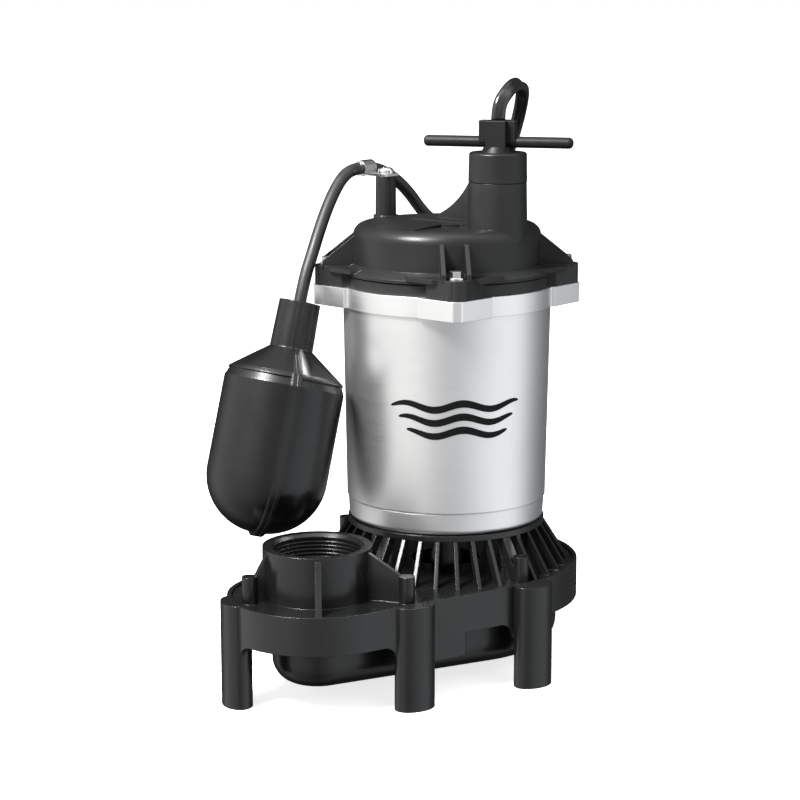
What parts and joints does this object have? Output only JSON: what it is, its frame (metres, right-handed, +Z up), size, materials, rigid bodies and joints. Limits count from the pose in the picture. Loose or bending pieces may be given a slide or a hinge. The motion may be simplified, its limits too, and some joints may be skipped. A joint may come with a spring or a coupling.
{
  "type": "submersible sump pump",
  "caption": "Submersible sump pump with a slatted intake, metal motor housing, threaded vertical discharge, carrying handle and tethered float switch.",
  "frame": {"origin": "centre of the footprint box at floor level, under the feet", "axes": "+Z up, discharge port towards -X, handle tower towards -Y, float clip towards +Y"},
  "size_m": [0.3479, 0.243, 0.3371],
  "materials": {
    "black_plastic": "satin black moulded plastic",
    "black_gloss": "glossy black vinyl",
    "cord_rubber": "matte black rubber",
    "black_rubber": "soft black rubber",
    "cast_metal": "satin die-cast aluminium",
    "steel": "bright stainless steel",
    "lamination": "stacked electrical steel",
    "copper": "enamelled copper wire",
    "brass": "machined brass",
    "ceramic": "dense ceramic seal face",
    "grey_plastic": "moulded insulation plastic",
    "white_plastic": "white moulded plastic"
  },
  "bodies": {
    "pump": {"base": "black_plastic", "volute_gasket": "black_rubber", "base_screws": "steel", "intake": "black_plastic", "housing_screws": "steel", "motor_housing": "cast_metal", "lower_bearing": "steel", "bearing_bracket": "cast_metal", "upper_bearing": "steel", "stator_core": "lamination", "windings": "copper", "seal_seat": "ceramic", "run_capacitor": "cast_metal", "overload_protector": "grey_plastic", "cap": "black_plastic", "tower_collar": "black_plastic", "cap_gasket": "black_rubber", "cap_screws": "steel", "handle": "black_gloss", "terminal_pins": "brass", "cord_clip": "steel", "clip_screw": "steel", "cord_gland": "black_rubber", "float_cord": "cord_rubber", "power_cord": "black_gloss", "power_cord_coil": "black_gloss", "plug_relief": "black_gloss", "wall_plug": "black_gloss", "plug_prongs": "brass"},
    "rotor": {"rotor_core": "lamination", "motor_shaft": "steel", "seal_head": "black_rubber", "impeller": "black_plastic", "impeller_screw": "steel"},
    "float": {"float_cord_free": "cord_rubber", "float_half_a": "black_plastic", "float_half_b": "black_plastic", "float_switch_case": "white_plastic", "float_microswitch": "grey_plastic"},
    "ball": {"float_ball": "steel"}
  },
  "joints": [
    {"name": "rotor_spin", "type": "hinge", "parent": "pump", "child": "rotor", "pos_m": [0.0325, 0, 0.1], "axis": [0, 0, 1], "continuous": true},
    {"name": "float_swing", "type": "hinge", "parent": "pump", "child": "float", "pos_m": [0.02553, 0.06196, 0.2858], "axis": [-0.0989, 0.9951, 0], "range_deg": [0, 90]},
    {"name": "ball_roll", "type": "slide", "parent": "float", "child": "ball", "axis": [0.2785, 0, 0.9604], "range_m": [0, 0.0135]}
  ]
}
